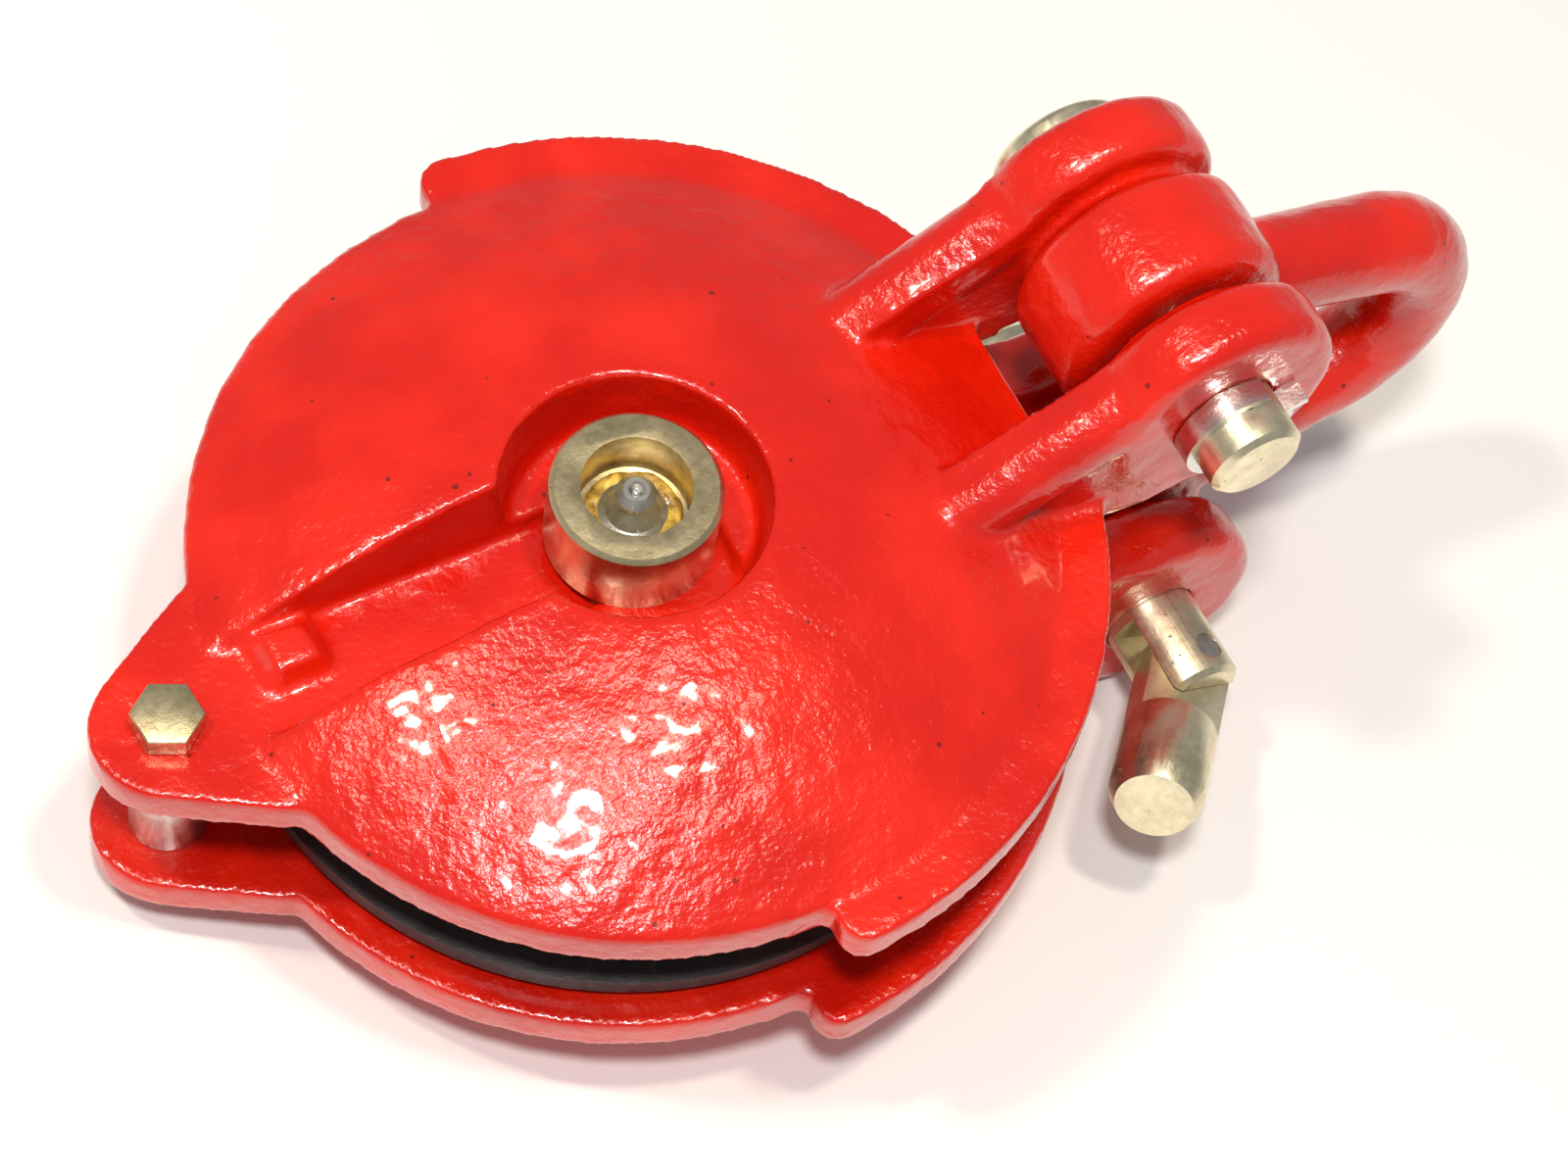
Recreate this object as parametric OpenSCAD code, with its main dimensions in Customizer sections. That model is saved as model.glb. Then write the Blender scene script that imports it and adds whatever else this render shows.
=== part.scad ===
/* [Sheave] */
// Outside diameter of the rope wheel
sheave_d = 127; // [115:1:133]
// Width of the rope wheel over its rims
sheave_w = 21.6; // [18:0.2:22.4]
// Diameter of the rope that the groove is cut for
rope_d = 9.5; // [7:0.5:11]
// Depth of the groove below the rim
groove_depth = 11; // [9:0.5:14]
// Outside diameter of the hub
hub_d = 42; // [36:1:50]
// Thickness of the web between hub and rim
web_t = 9; // [6:0.5:12]

/* [Cheeks] */
// Clear gap between the two cheeks
cheek_gap = 23.9; // [23:0.1:28]
// Thickness of the cheek at its rim
rim_t = 7.15; // [5:0.05:9]
// Radius of the open part of the cheek
cheek_r = 68.3; // [66:0.1:72]
// Radius of the wider flange on the bow side
flange_r = 76; // [73:0.5:80]
// Half angle over which the wide flange runs
flange_half_angle = 87; // [70:1:95]
// Rise of the dome from the rim to its crown
dome_rise = 16.4; // [12:0.2:20]
// Wall thickness of the hollow dome
dome_wall = 6.5; // [5:0.5:9]
// Radius of the pocket round the sheave pin at its mouth
pocket_r = 21.4; // [18:0.2:24]
// Thickness of metal under the pocket
pocket_floor_t = 10; // [8:0.2:12]
// Half width of the strap channel at its floor
channel_half_w = 8.7; // [6:0.1:10]
// Height of the gate stub left on the channel floor
gate_h = 3.6; // [2:0.2:5]

/* [Sheave pin] */
// Diameter of the pin's shank
pin_shank_d = 20; // [16:0.5:22]
// Diameter of the pin's round head
pin_head_d = 27; // [24:0.5:30]
// Height of the head above the pocket floor
pin_head_h = 14; // [10:0.5:17]
// Diameter of the counterbore in the head
counterbore_d = 17.4; // [14:0.2:20]
// Depth of the counterbore
counterbore_depth = 9; // [7:0.5:11]
// Wall of the bronze bush
bush_wall = 3; // [2:0.5:4]
// Thickness of each thrust washer
thrust_t = 1.2; // [0.8:0.1:1.2]

/* [Ears and pins] */
// Distance from the sheave axis to the bow pins
pin_reach = 91.5; // [89:0.5:96]
// Height of each bow pin from the mid plane
pin_height = 33.3; // [32:0.1:36]
// Diameter of the cross pin and the drop nose pin
bow_pin_d = 16; // [14:0.5:18]
// Radius of the ear's round end
ear_r = 20.5; // [18:0.5:22]
// Distance from the centre line to the inner face of an ear
ear_inner = 12.9; // [12:0.1:15]
// Thickness of an ear at its round end
ear_t = 12.1; // [9:0.1:14]
// Height of the round pad inside each ear
pad_h = 2; // [1:0.1:2]
// Radius of the round pad
pad_r = 15.5; // [12:0.5:17]

/* [Bow] */
// Diameter of the bow's round bar
bow_bar_d = 17; // [14:0.5:18]
// Radius of the bow's round bosses
boss_r = 20; // [17:0.5:21]
// Distance from the bow pins to the centre of the bow's curve
bow_reach = 39.5; // [34:0.5:50]
// Radius of the bow's curve along the middle of the bar
bow_bend_r = 20; // [17:0.5:22]

/* [Drop nose pin] */
// Length of the pin past the outer face of the ear
drop_stick_out = 16.3; // [14:0.1:20]
// Thickness of the tongue between the fork's tines
tongue_t = 5.6; // [4:0.1:7]
// Angle of the slot about the pin, from the sheave axis
slot_angle = 27; // [0:1:60]
// Angle by which the nose hangs down from the line of the pin
nose_angle = 46; // [20:1:46]
// Length of the round nose
nose_len = 17.8; // [14:0.2:24]
// Diameter of the rivet that carries the nose
rivet_d = 5; // [4:0.5:6]

/* [Tail bolt] */
// Distance from the sheave axis to the tail bolt
tail_reach = 77.6; // [76:0.1:82]
// Radius of the lug's round end
lug_r = 12; // [9:0.5:14]
// Thread diameter of the tail bolt
bolt_d = 6; // [5:0.5:8]
// Outside diameter of the spacer between the lugs
spacer_d = 12; // [10:0.5:16]

/* [Hidden] */
// Number of sides of round forms in the preview mesh
$fn = 96;
// Radial clearance of a running fit
run_fit = 0.08;
// Radial clearance of a pin that is pushed in by hand
slide_fit = 0.4;
// Side play of the rope wheel in all
side_play = 0.2;
// Small overlap that lets two forms of one casting join
weld = 0.6;
// Step that keeps two faces of one casting from lying in one plane
skin = 0.3;
// How much thinner the bow's bar is where it leaves the boss
limb_taper = 1;
// Length that reaches past the part when it cuts
past = 120;

half_gap = cheek_gap / 2;
rim_top = half_gap + rim_t;
crown_z = rim_top + dome_rise;
dome_r = (cheek_r * cheek_r + dome_rise * dome_rise) / (2 * dome_rise);
dome_centre_z = crown_z - dome_r;
pocket_floor_z = half_gap + pocket_floor_t;
pocket_draft = 2;
ledge_h = 2.6;
ledge_x = pin_head_d / 2 - 1;
head_top_z = pocket_floor_z + pin_head_h;
bush_r = pin_shank_d / 2 + run_fit + bush_wall;
hub_w = cheek_gap - side_play - 2 * thrust_t;
bow_pin_r = bow_pin_d / 2;
ear_outer = ear_inner + ear_t;
boss_half_w = ear_inner - pad_h - 1.2;
hex_across = 1.155;
bolt_head_h = bolt_d * 0.67;
bolt_flat = bolt_d * 5 / 3;
washer_t = 1.6;
nut_h = bolt_d * 0.85;
groove_r = rope_d / 2 * 1.07;
clip_w = 3.8;
clip_t = 1.6;

// A disc lying across the block, its axis along Y, with rounded edges
module puck(r, w, edge) {
    rotate([90, 0, 0])
        rotate_extrude() {
            translate([0, -w / 2]) square([r - edge, w]);
            translate([0, edge - w / 2]) square([r, w - 2 * edge]);
            for (side = [-1, 1])
                translate([r - edge, side * (w / 2 - edge)]) circle(edge, $fn = 32);
        }
}

// A straight round hole along Y
module cross_hole(r, x, z) {
    translate([x, 0, z]) rotate([90, 0, 0]) cylinder(r = r, h = 2 * past, center = true);
}

// Two circles joined by their outer tangents, the small one to the left
module tapered_lug(r1, x1, r2, x2) {
    lean = asin((r2 - r1) / (x2 - x1));
    translate([x1, 0]) circle(r1);
    translate([x2, 0]) circle(r2);
    polygon([
        [x1 - r1 * sin(lean), r1 * cos(lean)], [x2 - r2 * sin(lean), r2 * cos(lean)],
        [x2 - r2 * sin(lean), -r2 * cos(lean)], [x1 - r1 * sin(lean), -r1 * cos(lean)]]);
}

// One point of a curve through four handles
function bezier(p, t) = pow(1 - t, 3) * p[0] + 3 * pow(1 - t, 2) * t * p[1]
    + 3 * (1 - t) * t * t * p[2] + pow(t, 3) * p[3];

// The wide flange, whose ends run into the open rim in a soft step
module flange_outline() {
    step_r = (flange_r - cheek_r) / 2 + weld;
    intersection() {
        circle(flange_r);
        polygon(concat([[0, 0]], [for (a = [-flange_half_angle : flange_half_angle / 6 : flange_half_angle])
            2 * flange_r * [cos(a), sin(a)]]));
    }
    for (side = [-1, 1]) rotate(side * flange_half_angle)
        translate([flange_r - step_r, 0]) circle(step_r, $fn = 48);
}

module rim_outline() {
    difference() {
        union() {
            circle(cheek_r);
            flange_outline();
            tapered_lug(lug_r, -tail_reach, lug_r * 1.85, lug_r * 1.65 - tail_reach);
        }
        translate([cheek_r + 0.7, -ear_inner]) square([past, 2 * ear_inner]);
    }
}

module dome() {
    intersection() {
        translate([0, 0, dome_centre_z]) sphere(dome_r, $fn = 240);
        translate([0, 0, rim_top - weld]) cylinder(r = cheek_r - skin, h = past);
    }
}

// The hollow under the dome, left solid round the pin and under the channel
module dome_hollow() {
    difference() {
        intersection() {
            translate([0, 0, dome_centre_z]) sphere(dome_r - dome_wall, $fn = 240);
            translate([0, 0, half_gap - weld]) cylinder(r = cheek_r - 11, h = past);
        }
        cylinder(r = pocket_r + 3, h = past);
        translate([-past, -channel_half_w - dome_wall, 0]) cube([past, 2 * (channel_half_w + dome_wall), past]);
    }
}

module pocket() {
    difference() {
        translate([0, 0, pocket_floor_z])
            cylinder(r1 = pocket_r - pocket_draft, r2 = pocket_r + 0.3, h = crown_z - pocket_floor_z + 1);
        // The ledge that keeps the pin's head from turning
        translate([ledge_x, -past / 2, pocket_floor_z - 1]) cube([past, past, ledge_h + 1]);
    }
}

// The flat strap channel that runs from the pocket to the tail lug
module channel() {
    depth = crown_z - rim_top;
    slant = 1.3;
    rotate([0, -90, 0])
        linear_extrude(height = tail_reach + lug_r)
            polygon([[rim_top, -channel_half_w], [rim_top, channel_half_w],
                [rim_top + depth, channel_half_w + slant], [rim_top + depth, -channel_half_w - slant]]);
}

// The stub where the casting was cut from its gate, a low pyramid beside the channel's wall
module gate_stub() {
    base = [13, 11];
    top = [6.4, 6];
    translate([-56, channel_half_w - base[1] / 2, rim_top]) intersection() {
        rotate([90, 0, 0]) linear_extrude(height = past, center = true)
            polygon([[-base[0] / 2, -weld], [base[0] / 2, -weld], [top[0] / 2, gate_h], [-top[0] / 2, gate_h]]);
        rotate([90, 0, 90]) linear_extrude(height = past, center = true)
            polygon([[-base[1] / 2, -weld], [base[1] / 2, -weld], [top[1] / 2, gate_h], [-top[1] / 2, gate_h]]);
    }
}

// One arm of the fork, from the dome out to the pin, on the +Y side
module arm() {
    root_x = 43;
    meet_angle = 122;
    top = [[root_x, rim_top + 6.5], [58, 38], [70, 35],
        [pin_reach + (ear_r - weld) * cos(meet_angle), pin_height + (ear_r - weld) * sin(meet_angle)]];
    taper = 8;
    difference() {
        translate([0, ear_outer - skin, 0]) rotate([90, 0, 0])
            linear_extrude(height = ear_t - 2 * skin)
                polygon(concat([[root_x - 4, rim_top - weld], [root_x - 4, rim_top + 4]],
                    [for (t = [0 : 0.1 : 1]) bezier(top, t)],
                    [[pin_reach, pin_height], [pin_reach, half_gap + 3], [pin_reach - 10, half_gap + skin],
                    [cheek_r - 2, half_gap + skin]]));
        // The outer face runs in towards the root
        translate([pin_reach - 12, ear_outer, 0]) rotate([0, 0, taper])
            translate([-past, 0, 0]) cube([past, past, past]);
        // The top slopes down to the outside
        translate([root_x, ear_inner + 3, rim_top + 8]) rotate([0, -24, 0]) rotate([-32, 0, 0])
            translate([-10, 0, 0]) cube([40, past, past]);
    }
    translate([pin_reach, ear_inner + ear_t / 2, pin_height]) puck(ear_r, ear_t, 3.5);
    translate([pin_reach, ear_inner - pad_h / 2 + 1, pin_height]) puck(pad_r, pad_h + 2, 0.8);
}

module cheek() {
    difference() {
        union() {
            translate([0, 0, half_gap]) linear_extrude(height = rim_t) rim_outline();
            difference() {
                dome();
                channel();
            }
            gate_stub();
            for (side = [0, 1]) mirror([0, side, 0]) arm();
        }
        dome_hollow();
        pocket();
        cylinder(r = pin_shank_d / 2 + 0.1, h = past);
        cross_hole(bow_pin_r + run_fit, pin_reach, pin_height);
        translate([-tail_reach, 0, 0]) cylinder(r = bolt_d / 2 + 0.3, h = past);
    }
}

module near_cheek() { color("red") cheek(); }
// The far cheek is the same casting turned over
module far_cheek() { color("firebrick") rotate([180, 0, 0]) cheek(); }

module sheave() {
    r = sheave_d / 2;
    bottom_r = r - groove_depth;
    mouth = groove_r + 1.4;
    corner = 1.5;
    color("dimgray") rotate_extrude($fn = 180)
        difference() {
            union() {
                translate([bush_r, -hub_w / 2]) square([hub_d / 2 - bush_r, hub_w]);
                translate([bush_r, -web_t / 2]) square([r - groove_depth - bush_r, web_t]);
                translate([bottom_r - 5, -sheave_w / 2]) square([r - bottom_r + 5 - corner, sheave_w]);
                translate([bottom_r, corner - sheave_w / 2]) square([groove_depth, sheave_w - 2 * corner]);
                for (side = [-1, 1])
                    translate([r - corner, side * (sheave_w / 2 - corner)]) circle(corner, $fn = 32);
            }
            translate([bottom_r + groove_r, 0]) circle(groove_r, $fn = 48);
            polygon([[bottom_r + groove_r, -groove_r], [bottom_r + groove_r, groove_r],
                [r + 1, mouth], [r + 1, -mouth]]);
        }
}

module sheave_bush() {
    color("goldenrod") difference() {
        cylinder(r = bush_r, h = hub_w, center = true);
        cylinder(r = pin_shank_d / 2 + run_fit, h = past, center = true);
    }
}

module thrust_washer() {
    difference() {
        cylinder(r = hub_d / 2 - 1, h = thrust_t, center = true);
        cylinder(r = pin_shank_d / 2 + 0.2, h = past, center = true);
    }
}

module near_thrust_washer() { color("khaki") translate([0, 0, half_gap - thrust_t / 2]) thrust_washer(); }
module far_thrust_washer() { color("khaki") translate([0, 0, thrust_t / 2 - half_gap]) thrust_washer(); }

pin_washer_t = 2.5;
snap_w = 1.75;
pin_end_z = -pocket_floor_z - pin_washer_t - snap_w - 3;
grease_bore_r = 1.75;

module sheave_pin() {
    color("tan") difference() {
        union() {
            translate([0, 0, pocket_floor_z]) cylinder(d = pin_head_d, h = pin_head_h - 0.8);
            translate([0, 0, head_top_z - 0.8]) cylinder(d1 = pin_head_d, d2 = pin_head_d - 1.6, h = 0.8);
            translate([0, 0, pin_end_z + 1]) cylinder(d = pin_shank_d, h = pocket_floor_z - pin_end_z - 1 + weld);
            translate([0, 0, pin_end_z]) cylinder(d1 = pin_shank_d - 2, d2 = pin_shank_d, h = 1);
        }
        translate([0, 0, head_top_z - counterbore_depth]) cylinder(d = counterbore_d, h = past);
        // The flat that sits against the pocket's ledge
        translate([ledge_x - 0.1, -past / 2, pocket_floor_z - 1]) cube([past, past, ledge_h + 1.2]);
        cylinder(r = grease_bore_r, h = past);
        rotate([90, 0, 0]) cylinder(r = grease_bore_r, h = past);
        // Groove for the snap ring
        translate([0, 0, -pocket_floor_z - pin_washer_t - snap_w]) difference() {
            cylinder(d = pin_shank_d + 2, h = snap_w);
            cylinder(d = pin_shank_d - 2, h = snap_w);
        }
    }
}

module sheave_pin_washer() {
    color("silver") translate([0, 0, -pocket_floor_z - pin_washer_t]) difference() {
        cylinder(r = pin_shank_d / 2 + 6, h = pin_washer_t);
        cylinder(r = pin_shank_d / 2 + 0.2, h = past, center = true);
        // Flat that clears the far pocket's ledge
        translate([ledge_x - 0.1, -past / 2, -1]) cube([past, past, pin_washer_t + 2]);
    }
}

module sheave_pin_clip() {
    color("dimgray") translate([0, 0, -pocket_floor_z - pin_washer_t - snap_w]) difference() {
        cylinder(r = pin_shank_d / 2 + 2, h = snap_w);
        cylinder(d = pin_shank_d - 2, h = past, center = true);
        translate([-2, 0, -1]) cube([4, past, snap_w + 2]);
    }
}

nipple_seat_z = head_top_z - counterbore_depth;
nipple_h = counterbore_depth - 1;

module grease_nipple() {
    color("gainsboro") translate([0, 0, nipple_seat_z]) rotate_extrude($fn = 48)
        polygon([[0.8, -4], [grease_bore_r, -4], [grease_bore_r, 0], [5.4, 0], [5.4, 1.6], [4.4, 2.2],
            [2.3, nipple_h - 3.4], [2.3, nipple_h - 2.6], [3.25, nipple_h - 1.9], [3.25, nipple_h - 1.2],
            [2.1, nipple_h], [1.3, nipple_h], [0.8, nipple_h - 1]]);
}

module nipple_ball() {
    color("silver") translate([0, 0, nipple_seat_z + nipple_h - 1.15]) sphere(0.78, $fn = 32);
}

module hex(flat, h) { cylinder(d = flat * hex_across, h = h, $fn = 6); }

hex_turn = 35.7;
bolt_end_z = -rim_top - washer_t - nut_h - 2;

module tail_bolt() {
    color("silver") translate([-tail_reach, 0, 0]) {
        translate([0, 0, rim_top]) intersection() {
            rotate(hex_turn) hex(bolt_flat, bolt_head_h);
            cylinder(r1 = bolt_flat * 0.9, r2 = bolt_flat * 0.5, h = bolt_head_h * 1.6);
        }
        translate([0, 0, bolt_end_z]) cylinder(d = bolt_d, h = rim_top - bolt_end_z + weld);
    }
}

module tail_spacer() {
    color("silver") translate([-tail_reach, 0, 0]) difference() {
        cylinder(d = spacer_d, h = cheek_gap, center = true);
        cylinder(r = bolt_d / 2 + 0.15, h = past, center = true);
    }
}

module tail_washer() {
    color("silver") translate([-tail_reach, 0, -rim_top - washer_t]) difference() {
        cylinder(d = bolt_d * 2, h = washer_t);
        cylinder(r = bolt_d / 2 + 0.15, h = past, center = true);
    }
}

module tail_nut() {
    color("silver") translate([-tail_reach, 0, -rim_top - washer_t - nut_h]) difference() {
        rotate(10) hex(bolt_flat, nut_h);
        cylinder(d = bolt_d, h = past, center = true);
    }
}

// A round bar along -Y from y1 down to y0, with a chamfered end at y0
module cross_bar(r, y0, y1, bevel) {
    translate([0, y1, 0]) rotate([90, 0, 0]) cylinder(r = r, h = y1 - y0 - bevel);
    translate([0, y0 + bevel, 0]) rotate([90, 0, 0]) cylinder(r1 = r, r2 = r - bevel, h = bevel);
}

cross_pin_end = -ear_outer - 10;
head_t = 5.5;
head_r = bow_pin_r + 4;

module cross_pin() {
    color("tan") translate([pin_reach, 0, pin_height]) difference() {
        union() {
            cross_bar(bow_pin_r, cross_pin_end, ear_outer + 1, 1);
            translate([0, ear_outer + head_t / 2 + 0.1, 0]) puck(head_r, head_t, 1.6);
        }
        // Cross hole that the clip's tang drops into
        translate([0, -ear_outer - 0.3 - clip_w / 2, 0]) cylinder(d = 4, h = past);
    }
}

// A band of spring steel with a tang in the pin's cross hole and a turned out end
module cross_pin_clip() {
    open_from = 15;
    open_to = 68;
    tang_d = 3;
    tang_depth = 1.6;
    lip = [4.2, 1.3];
    color("silver") translate([pin_reach, -ear_outer - 0.3, pin_height]) rotate([90, 0, 0]) {
        difference() {
            cylinder(r = bow_pin_r + clip_t, h = clip_w);
            translate([0, 0, -1]) cylinder(r = bow_pin_r + 0.05, h = clip_w + 2);
            translate([0, 0, -1]) linear_extrude(height = clip_w + 2)
                polygon([[0, 0], past * [cos(open_from), sin(open_from)], past * [cos(open_to), sin(open_to)]]);
        }
        rotate(open_from - 3) translate([bow_pin_r + 0.2, -lip[1], skin])
            cube([lip[0], lip[1], clip_w - 2 * skin]);
        translate([0, bow_pin_r - tang_depth, clip_w / 2]) rotate([-90, 0, 0])
            cylinder(d = tang_d, h = tang_depth + clip_t / 2);
    }
}

// The line of a limb from its boss, and how far it runs before the curve
bow_span = sqrt(pow(bow_reach, 2) + pow(pin_height, 2));
bow_lean = atan2(pin_height, bow_reach) - asin(bow_bend_r / bow_span);
limb_len = sqrt(bow_span * bow_span - bow_bend_r * bow_bend_r);

module bow_limb() {
    translate([pin_reach, 0, pin_height]) {
        rotate([0, 90 + bow_lean, 0])
            cylinder(d1 = bow_bar_d - limb_taper, d2 = bow_bar_d - 0.1, h = limb_len + weld);
        puck(boss_r, 2 * boss_half_w, 3.5);
    }
}

module bow() {
    color("crimson") difference() {
        union() {
            for (side = [0, 1]) mirror([0, 0, side]) bow_limb();
            translate([pin_reach + bow_reach, 0, 0]) rotate([90, 0, 0]) rotate(bow_lean - 90)
                rotate_extrude(angle = 180 - 2 * bow_lean)
                    translate([bow_bend_r, 0]) circle(d = bow_bar_d);
        }
        cross_hole(bow_pin_r + run_fit, pin_reach, pin_height);
        cross_hole(bow_pin_r + slide_fit, pin_reach, -pin_height);
    }
}

drop_end = -ear_outer - drop_stick_out;
rivet_y = drop_end + 5;
nose_start = 16;

// Frame of the fork: Z along the rivet, origin where the rivet crosses the pin
module at_rivet() {
    translate([pin_reach, rivet_y, -pin_height]) rotate([0, slot_angle, 0]) children();
}

module drop_pin() {
    slot_depth = 10;
    color("tan") difference() {
        union() {
            translate([pin_reach, 0, -pin_height]) cross_bar(bow_pin_r, drop_end, ear_outer + 1, 1);
            translate([pin_reach, ear_outer + head_t / 2 + 0.1, -pin_height]) puck(head_r, head_t, 1.6);
        }
        at_rivet() translate([-past / 2, -past, -tongue_t / 2 - 0.1])
            cube([past, past + slot_depth, tongue_t + 0.2]);
        at_rivet() cylinder(d = rivet_d, h = past, center = true);
    }
}

module nose() {
    color("burlywood") at_rivet() rotate([0, 0, -nose_angle]) difference() {
        union() {
            translate([0, -nose_start, 0]) rotate([90, 0, 0]) cylinder(r = bow_pin_r, h = nose_len - 3);
            translate([0, -nose_start - nose_len + 3, 0]) rotate([90, 0, 0])
                cylinder(r1 = bow_pin_r, r2 = bow_pin_r - 1.4, h = 3);
            translate([-bow_pin_r + 0.6, -nose_start - weld, -tongue_t / 2])
                cube([2 * bow_pin_r - 1.2, nose_start + weld, tongue_t]);
            cylinder(r = bow_pin_r - 0.6, h = tongue_t, center = true);
        }
        cylinder(r = rivet_d / 2 + run_fit, h = past, center = true);
    }
}

module nose_rivet() {
    color("gray") at_rivet() cylinder(d = rivet_d, h = 2 * bow_pin_r - 0.8, center = true);
}

near_cheek();
far_cheek();
sheave();
sheave_bush();
near_thrust_washer();
far_thrust_washer();
sheave_pin();
sheave_pin_washer();
sheave_pin_clip();
grease_nipple();
nipple_ball();
tail_bolt();
tail_spacer();
tail_washer();
tail_nut();
cross_pin();
cross_pin_clip();
bow();
drop_pin();
nose();
nose_rivet();
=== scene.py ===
import bpy
import math
from mathutils import Matrix, Vector


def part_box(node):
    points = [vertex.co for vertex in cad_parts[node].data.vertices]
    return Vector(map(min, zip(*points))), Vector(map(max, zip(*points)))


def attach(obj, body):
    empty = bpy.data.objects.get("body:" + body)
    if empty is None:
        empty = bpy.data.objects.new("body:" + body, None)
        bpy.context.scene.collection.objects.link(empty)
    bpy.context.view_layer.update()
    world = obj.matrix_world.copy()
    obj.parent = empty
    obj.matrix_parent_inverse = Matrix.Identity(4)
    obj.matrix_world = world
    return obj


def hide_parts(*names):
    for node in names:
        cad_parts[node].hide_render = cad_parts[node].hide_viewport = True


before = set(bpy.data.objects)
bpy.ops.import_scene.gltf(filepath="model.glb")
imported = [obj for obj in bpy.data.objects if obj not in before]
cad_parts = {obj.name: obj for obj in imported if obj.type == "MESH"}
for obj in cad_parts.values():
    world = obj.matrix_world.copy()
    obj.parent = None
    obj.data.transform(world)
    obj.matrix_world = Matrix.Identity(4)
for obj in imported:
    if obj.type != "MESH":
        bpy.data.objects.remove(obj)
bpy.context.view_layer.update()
mm = 0.001


# A number or colour on a shader's wires, so that shader maths reads as plain sums
class Wire:
    def __init__(self, kit, socket):
        self.kit = kit
        self.socket = socket

    def maths(self, how, a, b):
        return self.kit.add("ShaderNodeMath", {"operation": how}, {0: a, 1: b})

    def __add__(self, other):
        return self.maths("ADD", self, other)

    def __radd__(self, other):
        return self.maths("ADD", other, self)

    def __sub__(self, other):
        return self.maths("SUBTRACT", self, other)

    def __rsub__(self, other):
        return self.maths("SUBTRACT", other, self)

    def __mul__(self, other):
        return self.maths("MULTIPLY", self, other)

    def __rmul__(self, other):
        return self.maths("MULTIPLY", other, self)


# One material: its nodes, and the patterns that several finishes share
class Finish:
    def __init__(self, name):
        self.material = bpy.data.materials.new(name)
        self.material.use_nodes = True
        self.tree = self.material.node_tree
        self.tree.nodes.clear()
        self.shader = self.tree.nodes.new("ShaderNodeBsdfPrincipled")
        output = self.tree.nodes.new("ShaderNodeOutputMaterial")
        self.tree.links.new(self.shader.outputs[0], output.inputs[0])
        self.place = self.add("ShaderNodeTexCoord", {}, {}, "Object")

    # Settings are set first, then each socket gets its value or its wire
    def add(self, kind, settings, sockets, out=0):
        node = self.tree.nodes.new(kind)
        for key, value in settings.items():
            setattr(node, key, value)
        for key, value in sockets.items():
            self.plug(node.inputs[key], value)
        return Wire(self, node.outputs[out])

    def plug(self, socket, value):
        if isinstance(value, Wire):
            self.tree.links.new(value.socket, socket)
        else:
            socket.default_value = value

    # A stretch below 1 draws the pattern out along that axis
    def noise(self, perMetre, detail=4.0, rough=0.5, stretch=None):
        place = self.place
        if stretch:
            place = self.add("ShaderNodeMapping", {}, {"Vector": place, "Scale": stretch})
        return self.add("ShaderNodeTexNoise", {}, {
            "Vector": place, "Scale": perMetre, "Detail": detail, "Roughness": rough})

    def cells(self, perMetre):
        return self.add("ShaderNodeTexVoronoi", {}, {"Vector": self.place, "Scale": perMetre}, "Distance")

    # A soft mask, 0 at low and 1 at high
    def band(self, value, low, high):
        return self.add("ShaderNodeMapRange", {"interpolation_type": "SMOOTHSTEP"}, {
            "Value": value, "From Min": low, "From Max": high})

    # The numbers are the Mix node's factor, its two colours and its colour result
    def blend(self, share, a, b):
        return self.add("ShaderNodeMix", {"data_type": "RGBA"}, {0: share, 6: a, 7: b}, 2)

    def bump(self, height, depth, below=None):
        sockets = {"Height": height, "Distance": depth, "Strength": 1.0}
        if below is not None:
            sockets["Normal"] = below
        return self.add("ShaderNodeBump", {}, sockets)

    def surface(self, **sockets):
        for name, value in sockets.items():
            self.plug(self.shader.inputs[name.replace("_", " ")], value)
        return self.material


# In all the finishes a noise is its count to the metre, detail, roughness and stretch, and an edge is
# the two values between which a mask comes in
paint = {
    "fresh": (0.72, 0.014, 0.002, 1), "deep": (0.56, 0.006, 0.001, 1),
    "tone": (45, 3), "toneEdge": (0.35, 0.7),
    "lumps": (330, 3), "lumpDepth": 0.30 * mm,
    "peel": (900, 2), "peelDepth": 0.16 * mm,
    "grain": (2600, 2), "grainDepth": 0.02 * mm,
    "chips": (95, 6, 0.75), "chipEdge": (0.735, 0.75), "chipColour": (0.035, 0.02, 0.018, 1),
    "poresPerMetre": 210, "scatter": (60, 2), "scatterShare": 0.35, "poreEdge": (0.215, 0.2),
    "poreColour": (0.12, 0.006, 0.005, 1), "poreShare": 0.8, "poreDepth": 0.25 * mm,
    "rough": 0.16, "roughByTone": 0.16, "roughByChips": 0.5,
    "coat": 0.55, "coatOffChips": 0.5, "coatRough": 0.08, "refraction": 1.45,
}


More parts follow.
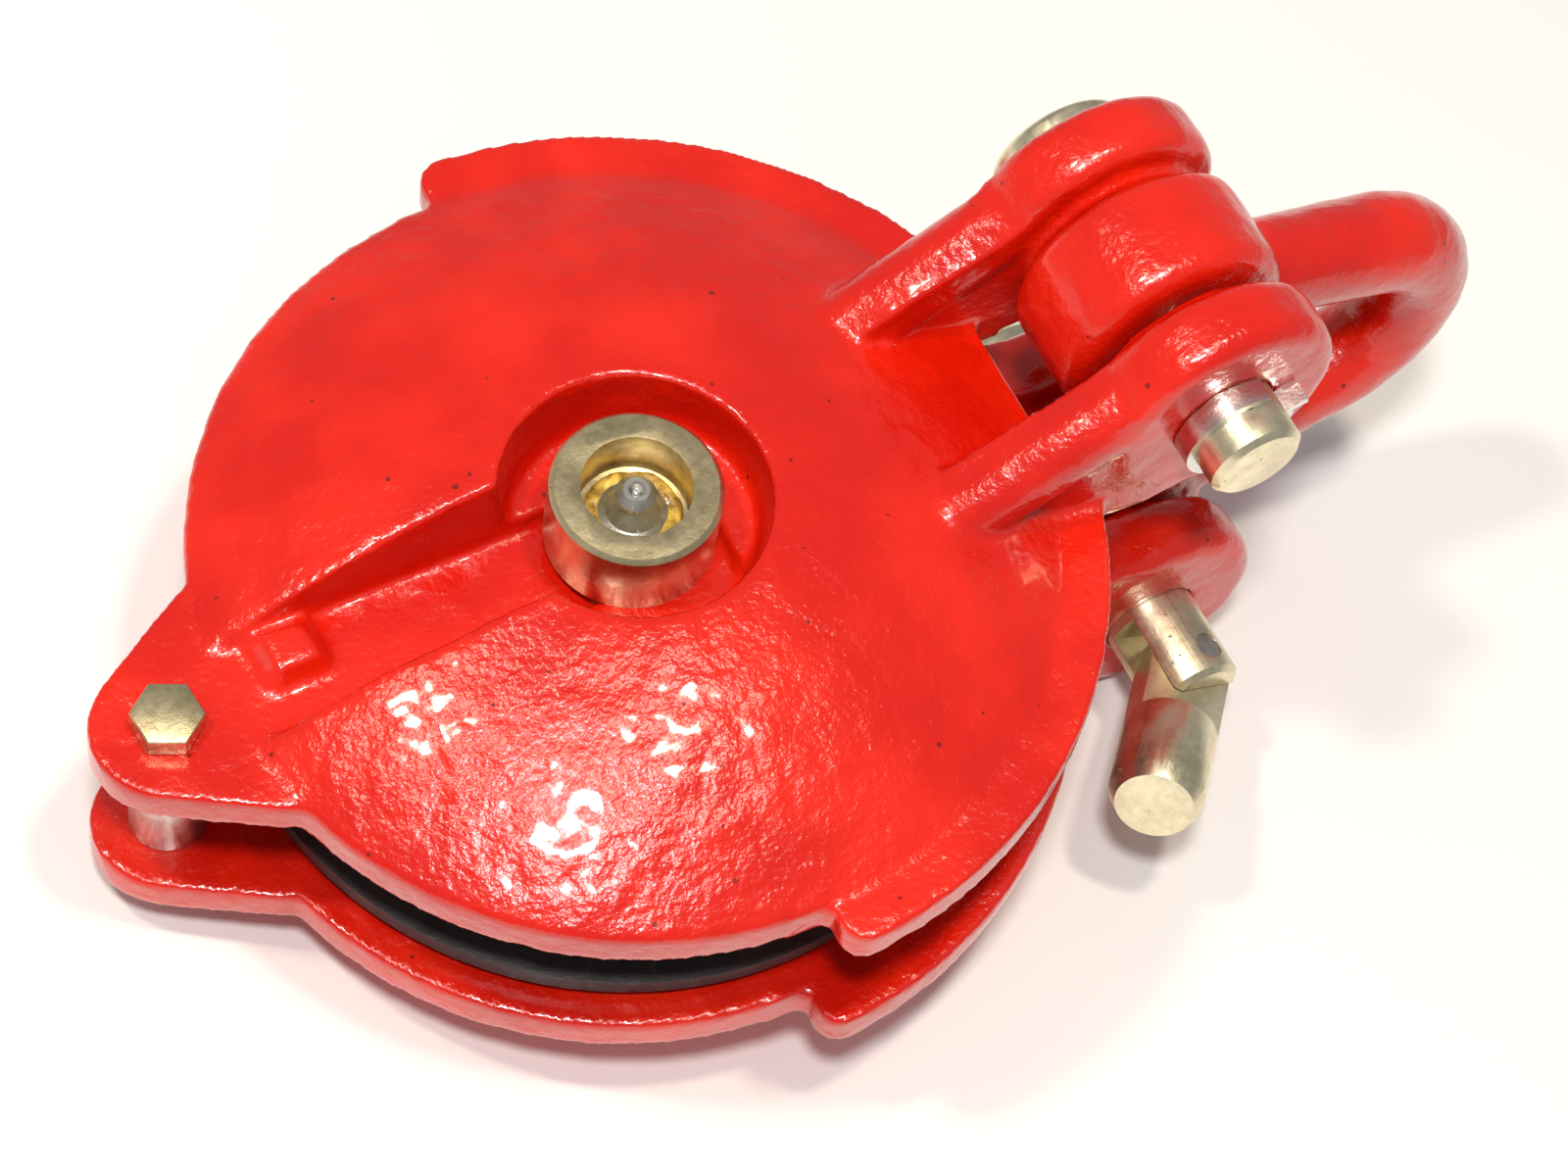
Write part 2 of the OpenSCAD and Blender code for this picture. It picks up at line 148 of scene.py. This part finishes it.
def redPaint():
    kit = Finish("redPaint")
    tone = kit.noise(*paint["tone"])
    lumps = kit.noise(*paint["lumps"])
    peel = kit.noise(*paint["peel"])
    grain = kit.noise(*paint["grain"])
    chips = kit.band(kit.noise(*paint["chips"]), *paint["chipEdge"])    # few and small
    scatter = kit.noise(*paint["scatter"]) * paint["scatterShare"]
    pores = kit.band(kit.cells(paint["poresPerMetre"]) + scatter, *paint["poreEdge"])    # pinholes
    colour = kit.blend(kit.band(tone, *paint["toneEdge"]), paint["deep"], paint["fresh"])
    colour = kit.blend(chips, colour, paint["chipColour"])
    colour = kit.blend(pores * paint["poreShare"], colour, paint["poreColour"])
    shape = kit.bump(lumps, paint["lumpDepth"])
    shape = kit.bump(peel, paint["peelDepth"], shape)
    shape = kit.bump(grain, paint["grainDepth"], shape)
    shape = kit.bump(1 - pores, paint["poreDepth"], shape)
    rough = paint["rough"] + tone * paint["roughByTone"] + chips * paint["roughByChips"]
    coat = paint["coat"] - chips * paint["coatOffChips"]
    return kit.surface(
        Base_Color=colour, Roughness=rough, Normal=shape, Coat_Weight=coat,
        Coat_Roughness=paint["coatRough"], IOR=paint["refraction"])


# What all the metals share: cloudy tones, stain, fine marks and small pits
metalSkin = {
    "clouds": (110, 5, 0.65), "cloudShare": 0.7, "cloudDepth": 0.12 * mm,
    "fine": (700, 4, 0.6), "fineShare": 0.3, "toneEdge": (0.36, 0.62),
    "marks": (1800, 3, 0.6), "drawnMarks": (1500, 3, 0.6, (1, 0.04, 1)), "markDepth": 0.035 * mm,
    "patches": (65, 4, 0.6), "patchEdge": (0.62, 0.8), "patchShare": 0.75,
    "pits": (520, 5, 0.7), "pitEdge": (0.66, 0.7), "pitShare": 0.7, "pitDepth": 0.08 * mm,
    "pitColour": (0.07, 0.05, 0.035, 1), "metalOffPits": 0.5,
    "roughByClouds": 0.16, "roughByPits": 0.25, "roughByPatches": 0.06,
}
# A drawn metal has its marks along Y, the line of the bow's two pins
metals = {
    "zincPin": {
        "pale": (0.80, 0.69, 0.42, 1), "dark": (0.54, 0.44, 0.25, 1), "stain": (0.20, 0.115, 0.085, 1),
        "stained": 0.05, "rough": 0.24, "drawn": False},
    "zincCross": {
        "pale": (0.93, 0.86, 0.62, 1), "dark": (0.70, 0.62, 0.43, 1), "stain": (0.22, 0.19, 0.20, 1),
        "stained": 0.02, "rough": 0.27, "drawn": True},
    "brightSteel": {
        "pale": (0.70, 0.69, 0.64, 1), "dark": (0.45, 0.44, 0.41, 1), "stain": (0.25, 0.22, 0.17, 1),
        "stained": 0.0, "rough": 0.24, "drawn": False},
    "springSteel": {
        "pale": (0.80, 0.80, 0.79, 1), "dark": (0.58, 0.58, 0.57, 1), "stain": (0.3, 0.28, 0.25, 1),
        "stained": -0.1, "rough": 0.16, "drawn": False},
    "bronze": {
        "pale": (0.62, 0.42, 0.17, 1), "dark": (0.40, 0.25, 0.09, 1), "stain": (0.16, 0.09, 0.04, 1),
        "stained": 0.0, "rough": 0.3, "drawn": False},
}


def metal(name, look):
    kit = Finish(name)
    clouds = kit.noise(*metalSkin["clouds"])
    fine = kit.noise(*metalSkin["fine"])
    marks = kit.noise(*metalSkin["drawnMarks" if look["drawn"] else "marks"])
    low, high = metalSkin["patchEdge"]
    patches = kit.band(kit.noise(*metalSkin["patches"]), low - look["stained"], high - look["stained"])
    pits = kit.band(kit.noise(*metalSkin["pits"]), *metalSkin["pitEdge"])
    tone = clouds * metalSkin["cloudShare"] + fine * metalSkin["fineShare"]
    colour = kit.blend(kit.band(tone, *metalSkin["toneEdge"]), look["dark"], look["pale"])
    colour = kit.blend(patches * metalSkin["patchShare"], colour, look["stain"])
    colour = kit.blend(pits * metalSkin["pitShare"], colour, metalSkin["pitColour"])
    shape = kit.bump(marks, metalSkin["markDepth"])
    shape = kit.bump(clouds, metalSkin["cloudDepth"], shape)
    shape = kit.bump(1 - pits, metalSkin["pitDepth"], shape)
    rough = look["rough"] + clouds * metalSkin["roughByClouds"]
    rough = rough + pits * metalSkin["roughByPits"] + patches * metalSkin["roughByPatches"]
    shine = 1 - pits * metalSkin["metalOffPits"]
    return kit.surface(Base_Color=colour, Metallic=shine, Normal=shape, Roughness=rough)


wheelCoat = {
    "dark": (0.008, 0.008, 0.01, 1), "pale": (0.03, 0.029, 0.031, 1),
    "tone": (160, 4), "toneDepth": 0.2 * mm, "grain": (1500, 3), "grainDepth": 0.06 * mm,
    "worn": (240, 5, 0.7), "wornEdge": (0.64, 0.7), "wornColour": (0.12, 0.115, 0.105, 1),
    "wornShare": 0.6, "metalByWear": 0.5, "rough": 0.36, "roughByTone": 0.2,
}


def wheelPaint():
    kit = Finish("wheelPaint")
    tone = kit.noise(*wheelCoat["tone"])
    grain = kit.noise(*wheelCoat["grain"])
    worn = kit.band(kit.noise(*wheelCoat["worn"]), *wheelCoat["wornEdge"])
    colour = kit.blend(tone, wheelCoat["dark"], wheelCoat["pale"])
    colour = kit.blend(worn * wheelCoat["wornShare"], colour, wheelCoat["wornColour"])
    shape = kit.bump(tone, wheelCoat["toneDepth"])
    shape = kit.bump(grain, wheelCoat["grainDepth"], shape)
    rough = wheelCoat["rough"] + tone * wheelCoat["roughByTone"]
    shine = worn * wheelCoat["metalByWear"]
    return kit.surface(Base_Color=colour, Roughness=rough, Metallic=shine, Normal=shape)


grease = {
    "ringRadius": 5.9 * mm, "ringThickness": 1.7 * mm, "ringSides": 64, "tubeSides": 20, "flatness": 0.62,
    "floorAboveFoot": 4 * mm, "seatAbove": 0.5 * mm, "lumpSize": 3 * mm, "lumpDepth": 1.2 * mm,
    "dark": (0.20, 0.10, 0.012, 1), "pale": (0.62, 0.40, 0.06, 1), "tone": (420, 4),
    "toneEdge": (0.35, 0.68), "toneDepth": 0.5 * mm, "rough": 0.22, "roughByTone": 0.2,
    "coat": 0.6, "coatRough": 0.1,
}


def oldGrease():
    kit = Finish("oldGrease")
    tone = kit.noise(*grease["tone"])
    colour = kit.blend(kit.band(tone, *grease["toneEdge"]), grease["dark"], grease["pale"])
    rough = grease["rough"] + tone * grease["roughByTone"]
    return kit.surface(
        Base_Color=colour, Roughness=rough, Normal=kit.bump(tone, grease["toneDepth"]),
        Coat_Weight=grease["coat"], Coat_Roughness=grease["coatRough"])


finishes = {"redPaint": redPaint(), "wheelPaint": wheelPaint(), "oldGrease": oldGrease()}
for metalName, look in metals.items():
    finishes[metalName] = metal(metalName, look)
print("finishes made")


def deselect():
    bpy.ops.object.select_all(action="DESELECT")


def dress(piece, finish, body=None):
    piece.data.materials.clear()
    piece.data.materials.append(finishes[finish])
    if body:
        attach(piece, body)
    return piece


weldGap = 0.002 * mm    # corners of a CAD mesh's loose triangles that lie this close are one


# A new object holding a welded copy of a CAD node's mesh
def copyOf(name, node):
    deselect()
    piece = bpy.data.objects.new(name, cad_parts[node].data.copy())
    bpy.context.scene.collection.objects.link(piece)
    piece.select_set(True)
    bpy.context.view_layer.objects.active = piece
    bpy.ops.object.mode_set(mode="EDIT")
    bpy.ops.mesh.select_all(action="SELECT")
    bpy.ops.mesh.remove_doubles(threshold=weldGap)
    bpy.ops.object.mode_set(mode="OBJECT")
    return piece


def applyAll(piece):
    deselect()
    piece.select_set(True)
    bpy.context.view_layer.objects.active = piece
    for modifier in list(piece.modifiers):
        bpy.ops.object.modifier_apply(modifier=modifier.name)


# The near cheek's arms get a round back each, from its root in the dome to its top at the ear. Both of
# these places are in mm
castings = {
    "skin": 0.86 * mm, "easing": 4, "easeShare": 0.5,
    "sandGrain": 5 * mm, "sandLayers": 2, "sandDepth": 0.42 * mm,
    "armRoot": (45, 18.6, 21.5), "armTop": (80, 18.8, 40),
    "armRadius": 6.2 * mm, "armSides": 32, "armRings": 16,
}


# A round ended rib of metal that melts into a casting when its skin is laid: a ball whose front half,
# seen along the rib, is pulled out to the far end
def rib(start, end):
    deselect()
    bpy.ops.mesh.primitive_uv_sphere_add(
        segments=castings["armSides"], ring_count=castings["armRings"], radius=castings["armRadius"],
        location=start, rotation=(end - start).to_track_quat("Z", "Y").to_euler())
    piece = bpy.context.active_object
    bpy.ops.object.mode_set(mode="EDIT")
    bpy.ops.mesh.select_mode(type="VERT")
    bpy.ops.mesh.select_all(action="DESELECT")
    bpy.ops.object.mode_set(mode="OBJECT")
    for vertex in piece.data.vertices:
        vertex.select = vertex.co.z > 0.001 * mm
    bpy.ops.object.mode_set(mode="EDIT")
    bpy.ops.transform.translate(value=end - start)
    bpy.ops.object.mode_set(mode="OBJECT")
    bpy.ops.object.transform_apply(location=True, rotation=True, scale=True)
    return piece


# Both arms of a cheek. Facing is 1 for the near cheek and -1 for the far one, which is turned over
def armBacks(facing):
    ribs = []
    for side in (-1, 1):
        turn = Vector((1, side, facing))
        root = Vector(castings["armRoot"]) * turn
        top = Vector(castings["armTop"]) * turn
        ribs.append(rib(root * mm, top * mm))
    return ribs


# Sand castings lose every sharp edge: a fine skin is laid over the solid, then eased
def cast(name, node, body, facing=None):
    piece = copyOf(name, node)
    if facing:
        ribs = armBacks(facing)
        deselect()
        for part in ribs + [piece]:
            part.select_set(True)
        bpy.context.view_layer.objects.active = piece
        bpy.ops.object.join()
    skin = piece.modifiers.new("skin", "REMESH")
    skin.mode = "VOXEL"
    skin.voxel_size = castings["skin"]
    skin.use_smooth_shade = True
    ease = piece.modifiers.new("ease", "SMOOTH")
    ease.factor = castings["easeShare"]
    ease.iterations = castings["easing"]
    sand = bpy.data.textures.new(name + "Sand", "CLOUDS")
    sand.noise_scale = castings["sandGrain"]
    sand.noise_depth = castings["sandLayers"]
    uneven = piece.modifiers.new("uneven", "DISPLACE")
    uneven.texture = sand
    uneven.texture_coords = "LOCAL"
    uneven.strength = castings["sandDepth"]
    uneven.mid_level = 0.5    # as much in as out
    applyAll(piece)
    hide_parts(node)
    print(name, "has", 2 * len(piece.data.polygons), "triangles")
    return dress(piece, "redPaint", body)


# Each hole of the bow is a little wider than the pin in it
bowHoles = {
    "x": 91.5 * mm, "crossPin": {"z": 33.3 * mm, "radius": 8.3 * mm},
    "dropPin": {"z": -33.3 * mm, "radius": 8.65 * mm}, "drillLength": 60 * mm, "drillSides": 96,
}


# A clean round hole along Y, bored after the casting was made
def bore(piece, hole):
    deselect()
    bpy.ops.mesh.primitive_cylinder_add(
        vertices=bowHoles["drillSides"], radius=hole["radius"], depth=bowHoles["drillLength"],
        location=(bowHoles["x"], 0, hole["z"]), rotation=(math.radians(90), 0, 0))
    drill = bpy.context.active_object
    cut = piece.modifiers.new("bore", "BOOLEAN")
    cut.operation = "DIFFERENCE"
    cut.object = drill
    applyAll(piece)
    bpy.data.objects.remove(drill)


cast("nearCheekCasting", "near_cheek", "frame", 1)
cast("farCheekCasting", "far_cheek", "frame", -1)
bowForging = cast("bowForging", "bow", "head_bow")
bore(bowForging, bowHoles["crossPin"])
bore(bowForging, bowHoles["dropPin"])
print("castings made")

edges = {
    "flatWithin": math.radians(0.6), "brokenOver": math.radians(32), "smoothUnder": math.radians(24),
    "steps": 3,
}


# Turned and stamped pieces get the small broken edges of real ones
def edged(name, node, body, finish, width):
    piece = copyOf(name, node)
    bpy.ops.object.mode_set(mode="EDIT")
    bpy.ops.mesh.select_all(action="SELECT")
    bpy.ops.mesh.dissolve_limited(angle_limit=edges["flatWithin"])
    bpy.ops.object.mode_set(mode="OBJECT")
    bevel = piece.modifiers.new("edge", "BEVEL")
    bevel.width = width
    bevel.segments = edges["steps"]
    bevel.limit_method = "ANGLE"
    bevel.angle_limit = edges["brokenOver"]
    bevel.use_clamp_overlap = True
    applyAll(piece)
    bpy.ops.object.shade_smooth_by_angle(angle=edges["smoothUnder"])
    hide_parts(node)
    return dress(piece, finish, body)


# Node, finish and slot of the CAD solids that are kept as they are
kept = [
    ("sheave", "wheelPaint", "wheel_paint"), ("sheave_bush", "bronze", "bronze"),
    ("near_thrust_washer", "bronze", "bronze"), ("far_thrust_washer", "bronze", "bronze"),
    ("sheave_pin_washer", "brightSteel", "bright_steel"), ("sheave_pin_clip", "springSteel", "spring_steel"),
    ("grease_nipple", "brightSteel", "bright_steel"), ("nipple_ball", "springSteel", "bright_steel"),
    ("tail_washer", "brightSteel", "bright_steel"), ("cross_pin_clip", "springSteel", "spring_steel"),
    ("nose_rivet", "brightSteel", "bright_steel"),
]
for nodeName, finish, slotName in kept:
    dress(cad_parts[nodeName], finish)

# New piece, node, body, finish, slot and width of the broken edge
turned = [
    ("wheelPin", "sheave_pin", "frame", "zincPin", "zinc_pin", 0.45 * mm),
    ("tailBolt", "tail_bolt", "frame", "zincPin", "zinc_pin", 0.3 * mm),
    ("tailNut", "tail_nut", "frame", "brightSteel", "bright_steel", 0.25 * mm),
    ("tailSpacer", "tail_spacer", "frame", "brightSteel", "bright_steel", 0.4 * mm),
    ("crossPin", "cross_pin", "frame", "zincCross", "zinc_pin", 0.4 * mm),
    ("dropPin", "drop_pin", "lock_pin", "zincCross", "zinc_pin", 0.35 * mm),
    ("dropNose", "nose", "lock_nose", "zincCross", "zinc_pin", 0.5 * mm),
]
for pieceName, nodeName, body, finish, slotName, edgeWidth in turned:
    edged(pieceName, nodeName, body, finish, edgeWidth)
print("turned pieces made")


# Grease squeezed out round the nipple, lying on the floor of the counterbore
def greaseRing():
    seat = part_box("grease_nipple")[0].z + grease["floorAboveFoot"]
    deselect()
    bpy.ops.mesh.primitive_torus_add(
        major_radius=grease["ringRadius"], minor_radius=grease["ringThickness"],
        major_segments=grease["ringSides"], minor_segments=grease["tubeSides"],
        location=(0, 0, seat + grease["seatAbove"]))
    ring = bpy.context.active_object
    ring.name = "greaseRing"
    bpy.ops.object.mode_set(mode="EDIT")
    bpy.ops.mesh.select_all(action="SELECT")
    bpy.ops.transform.resize(value=(1, 1, grease["flatness"]))
    bpy.ops.object.mode_set(mode="OBJECT")
    bpy.ops.object.transform_apply(location=True, rotation=True, scale=True)
    lumps = bpy.data.textures.new("greaseLumps", "CLOUDS")
    lumps.noise_scale = grease["lumpSize"]
    push = ring.modifiers.new("lumps", "DISPLACE")
    push.texture = lumps
    push.strength = grease["lumpDepth"]
    push.texture_coords = "LOCAL"
    applyAll(ring)
    bpy.ops.object.shade_smooth()
    dress(ring, "oldGrease", "frame")


greaseRing()
print("grease made")

# The camera of the photograph, in the block's own frame
camera = {
    "at": (-0.21271, -0.29774, 0.65138), "right": (0.87787, -0.46496, 0.11469),
    "up": (0.35907, 0.79752, 0.48480), "ahead": (0.31688, 0.38441, -0.86707),
    "lens": 108.16, "sensor": 36, "nearest": 0.01, "farthest": 20,
}


def addCamera():
    data = bpy.data.cameras.new("photoCamera")
    data.lens = camera["lens"]
    data.sensor_width = camera["sensor"]
    data.clip_start = camera["nearest"]
    data.clip_end = camera["farthest"]
    eye = bpy.data.objects.new("photoCamera", data)
    bpy.context.scene.collection.objects.link(eye)
    columns = [Vector(camera["right"]), Vector(camera["up"]), -Vector(camera["ahead"])]
    turn = Matrix(columns).transposed().to_4x4()
    eye.matrix_world = Matrix.Translation(camera["at"]) @ turn
    bpy.context.scene.camera = eye


# The block lies on its far ears and on the end of its tail bolt, so the floor leans to them
floor = {
    "lean": math.radians(8.5), "drop": 40.2 * mm, "size": 12,
    "dark": (0.86, 0.86, 0.86, 1), "pale": (0.9, 0.9, 0.9, 1), "tone": (6, 2), "rough": 0.7,
}


def addFloor():
    deselect()
    bpy.ops.mesh.primitive_plane_add(size=floor["size"])
    ground = bpy.context.active_object
    ground.name = "paleFloor"
    lean = Matrix.Rotation(floor["lean"], 4, "Y")
    ground.data.transform(lean @ Matrix.Translation((0, 0, -floor["drop"])))
    kit = Finish("paleFloor")
    colour = kit.blend(kit.noise(*floor["tone"]), floor["dark"], floor["pale"])
    ground.data.materials.append(kit.surface(Base_Color=colour, Roughness=floor["rough"]))


# A key lamp is its direction from the block, power in watts, width and colour
studio = {
    "keys": [((-0.202, -0.250, 0.946), 10.0, 0.15, (1, 0.98, 0.95)),
             ((-0.329, 0.149, 0.930), 5.5, 0.12, (1, 0.88, 0.72)),
             ((0.125, -0.131, 0.985), 5.5, 0.12, (1, 0.88, 0.72))],
    "reach": 1.3, "sky": 0.3, "skyColour": (1, 1, 1, 1),
}


def addLights():
    for number, (toward, power, width, colour) in enumerate(studio["keys"]):
        data = bpy.data.lights.new(f"softBox{number}", "AREA")
        data.shape = "DISK"
        data.energy = power
        data.size = width
        data.color = colour
        lamp = bpy.data.objects.new(data.name, data)
        bpy.context.scene.collection.objects.link(lamp)
        lamp.location = Vector(toward).normalized() * studio["reach"]
        lamp.rotation_euler = Vector(toward).to_track_quat("Z", "Y").to_euler()
    world = bpy.data.worlds.new("studio")
    bpy.context.scene.world = world
    world.use_nodes = True
    background = world.node_tree.nodes["Background"]
    background.inputs[0].default_value = studio["skyColour"]
    background.inputs[1].default_value = studio["sky"]


addCamera()
addFloor()
addLights()
bpy.context.scene.view_settings.view_transform = "Standard"
print("studio made")
